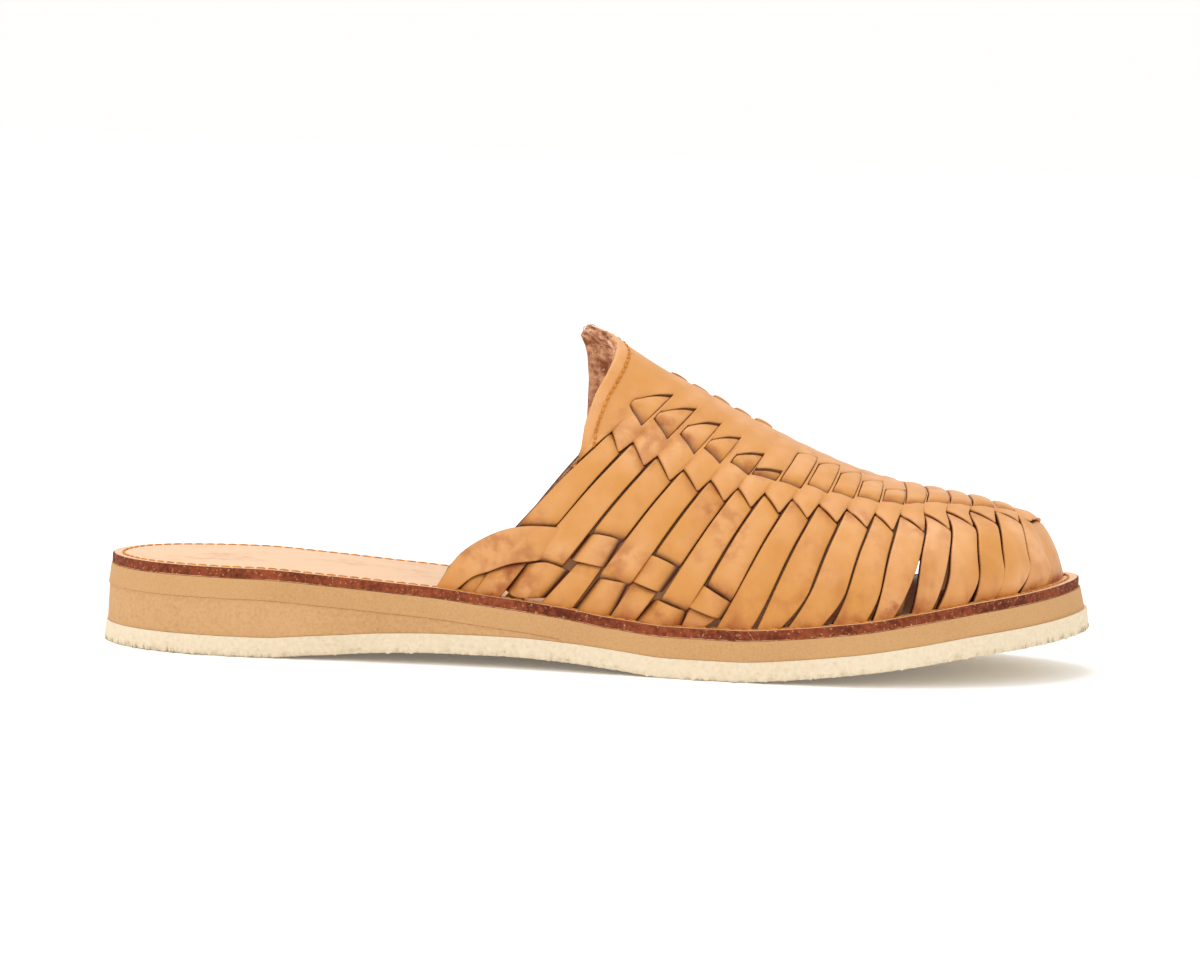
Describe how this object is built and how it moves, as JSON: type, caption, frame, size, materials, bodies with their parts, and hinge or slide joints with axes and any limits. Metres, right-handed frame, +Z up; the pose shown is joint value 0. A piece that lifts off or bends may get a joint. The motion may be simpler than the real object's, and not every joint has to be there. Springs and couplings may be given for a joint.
{
  "type": "huarache sandal",
  "caption": "Backless huarache sandal for the right foot: a closed woven leather upper with a slit vamp and plain-woven sides over a leather insole, midsole, heel wedge and crepe outsole.",
  "frame": {"origin": "on the floor, under the middle of the shoe's box", "axes": "+X towards the toe, +Y towards the inner side of the foot, +Z up"},
  "size_m": [0.26, 0.0932, 0.0865],
  "materials": {
    "outsole": "cream crepe rubber, rough cut edge",
    "heel_wedge": "tan foam rubber, pebbled",
    "midsole": "tan foam rubber, fine grain, sanded",
    "insole": "smooth natural leather, dark cut edge",
    "upper": "smooth vegetable-tanned leather, satin, burnished edges"
  },
  "bodies": {
    "root": {"outsole": "outsole", "heel_wedge": "heel_wedge", "midsole": "midsole", "insole": "insole", "upper": "upper"}
  },
  "joints": []
}
